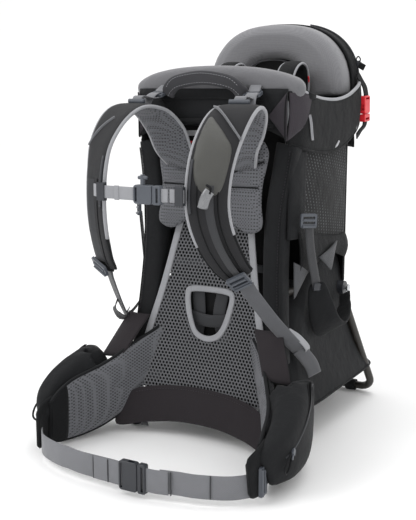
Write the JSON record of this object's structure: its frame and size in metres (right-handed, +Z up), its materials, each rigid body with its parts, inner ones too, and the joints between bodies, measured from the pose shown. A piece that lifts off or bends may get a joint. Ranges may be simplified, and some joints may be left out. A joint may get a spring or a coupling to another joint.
{
  "type": "framed child carrier backpack",
  "caption": "Framed backpack that carries a child behind the wearer, with folding kickstand, hip belt, adjustable harness and seat.",
  "frame": {"origin": "on the floor, at the middle of the width and of the depth with the kickstand deployed, which is the bottom centre of the bounding box", "axes": "+Z up; -Y toward the wearer's back and hip belt; +Y toward the child and the kickstand; +X to the right when looking along +Y"},
  "size_m": [0.492, 0.666, 0.727],
  "materials": {
    "frame_black": "satin powder coat",
    "steel_pin": "satin",
    "rod_alu": "satin",
    "rubber_foot": "matte",
    "plate_plastic": "matte",
    "buckle_grey": "satin",
    "buckle_red": "satin",
    "mesh_grey": "open woven mesh",
    "spacer_grey": "spacer mesh",
    "webbing_grey": "flat webbing",
    "drool_grey": "brushed",
    "head_grey": "padded, plain weave",
    "charcoal": "ripstop",
    "plum": "plain weave"
  },
  "bodies": {
    "frame": {"main_frame_tube": "frame_black", "front_feet": "rubber_foot", "base_cross_tube": "frame_black", "lumbar_spring_bar": "plate_plastic", "cockpit_hoop": "frame_black", "side_struts": "frame_black", "seat_cross_tube": "frame_black", "kickstand_brackets": "plate_plastic", "kickstand_pivot_pins": "steel_pin", "torso_rods": "rod_alu", "torso_rod_bars": "plate_plastic", "mesh_backpanel": "mesh_grey", "lumbar_panel": "plum", "frame_sleeves": "charcoal", "drool_pad": "drool_grey", "front_wall": "charcoal", "cockpit_walls": "charcoal", "headrest": "head_grey", "cockpit_back": "charcoal", "sunshade_pocket": "charcoal", "rear_panel": "charcoal", "side_mesh_panels": "charcoal", "base_compartment": "charcoal", "cockpit_buckle_socket": "buckle_red", "stirrup_buckles": "buckle_grey", "load_lifter_buckles": "buckle_grey"},
    "kickstand": {"kickstand_tube": "frame_black", "kickstand_eyes": "plate_plastic", "kickstand_feet": "rubber_foot"},
    "child_seat": {"seat_saddle": "charcoal", "seat_backrest": "charcoal", "child_harness_pads": "charcoal"},
    "harness": {"yoke_slider": "plate_plastic", "yoke_pad": "spacer_grey", "shoulder_strap_right": "spacer_grey", "shoulder_strap_left": "spacer_grey", "load_lifter_webbing": "webbing_grey", "strap_locks": "buckle_grey", "shoulder_webbing": "webbing_grey"},
    "sternum_strap": {"sternum_sliders": "buckle_grey", "sternum_webbing": "webbing_grey", "sternum_buckle_socket": "buckle_grey"},
    "sternum_plug": {"sternum_buckle_plug": "buckle_grey"},
    "hip_wing_right": {"hip_pad_right": "spacer_grey", "hip_pocket_right": "charcoal", "belt_webbing_right": "webbing_grey", "hip_lock_right": "buckle_grey"},
    "hip_wing_left": {"hip_pad_left": "spacer_grey", "hip_pocket_left": "charcoal", "belt_webbing_left": "webbing_grey", "hip_lock_left": "buckle_grey", "waist_buckle_socket": "buckle_grey"},
    "waist_plug": {"waist_buckle_plug": "buckle_grey"},
    "zip_pull_right": {"hip_zip_pull_right": "buckle_grey"},
    "zip_pull_left": {"hip_zip_pull_left": "buckle_grey"},
    "stirrup_right": {"stirrup_right": "charcoal"},
    "stirrup_left": {"stirrup_left": "charcoal"},
    "cockpit_plug": {"cockpit_buckle_plug": "buckle_red"},
    "sunshade_zip": {"sunshade_zip_pull": "buckle_grey"},
    "grab_handle": {"grab_handle": "head_grey"}
  },
  "joints": [
    {"name": "kickstand_fold", "type": "hinge", "parent": "frame", "child": "kickstand", "pos_m": [0, 0.195, 0.24], "axis": [-1, 0, 0], "range_deg": [0, 36]},
    {"name": "torso_adjust", "type": "slide", "parent": "frame", "child": "harness", "axis": [0, 0.0995, 0.995], "range_m": [-0.045, 0]},
    {"name": "sternum_height", "type": "slide", "parent": "harness", "child": "sternum_strap", "axis": [0, 0, 1], "range_m": [-0.03, 0.025]},
    {"name": "sternum_buckle_release", "type": "slide", "parent": "sternum_strap", "child": "sternum_plug", "axis": [1, 0, 0], "range_m": [0, 0.012]},
    {"name": "hip_wing_right_swing", "type": "hinge", "parent": "frame", "child": "hip_wing_right", "pos_m": [0.128, -0.08, 0.12], "axis": [0, 0, 1], "range_deg": [0, 32]},
    {"name": "hip_wing_left_swing", "type": "hinge", "parent": "frame", "child": "hip_wing_left", "pos_m": [-0.128, -0.08, 0.12], "axis": [0, 0, -1], "range_deg": [0, 32]},
    {"name": "waist_buckle_release", "type": "slide", "parent": "hip_wing_left", "child": "waist_plug", "axis": [1, 0, 0], "range_m": [0, 0.018]},
    {"name": "hip_zip_right", "type": "slide", "parent": "hip_wing_right", "child": "zip_pull_right", "axis": [-0.2308, 0.7766, 0.5861], "range_m": [0, 0.06]},
    {"name": "hip_zip_left", "type": "slide", "parent": "hip_wing_left", "child": "zip_pull_left", "axis": [0.2308, 0.7766, 0.5861], "range_m": [0, 0.06]},
    {"name": "seat_height", "type": "slide", "parent": "frame", "child": "child_seat", "axis": [0, 0, 1], "range_m": [0, 0.03]},
    {"name": "stirrup_right_height", "type": "slide", "parent": "frame", "child": "stirrup_right", "axis": [0, 0, 1], "range_m": [-0.035, 0.005]},
    {"name": "stirrup_left_height", "type": "slide", "parent": "frame", "child": "stirrup_left", "axis": [0, 0, 1], "range_m": [-0.035, 0.005]},
    {"name": "cockpit_buckle_release", "type": "slide", "parent": "frame", "child": "cockpit_plug", "axis": [0, 0.0499, -0.9988], "range_m": [0, 0.022]},
    {"name": "sunshade_zip", "type": "hinge", "parent": "frame", "child": "sunshade_zip", "pos_m": [0, 0.262, 0.602], "axis": [0, -1, 0], "range_deg": [0, 30]},
    {"name": "grab_handle_flip", "type": "hinge", "parent": "frame", "child": "grab_handle", "pos_m": [0, -0.061, 0.602], "axis": [1, 0, 0], "range_deg": [0, 80]}
  ]
}
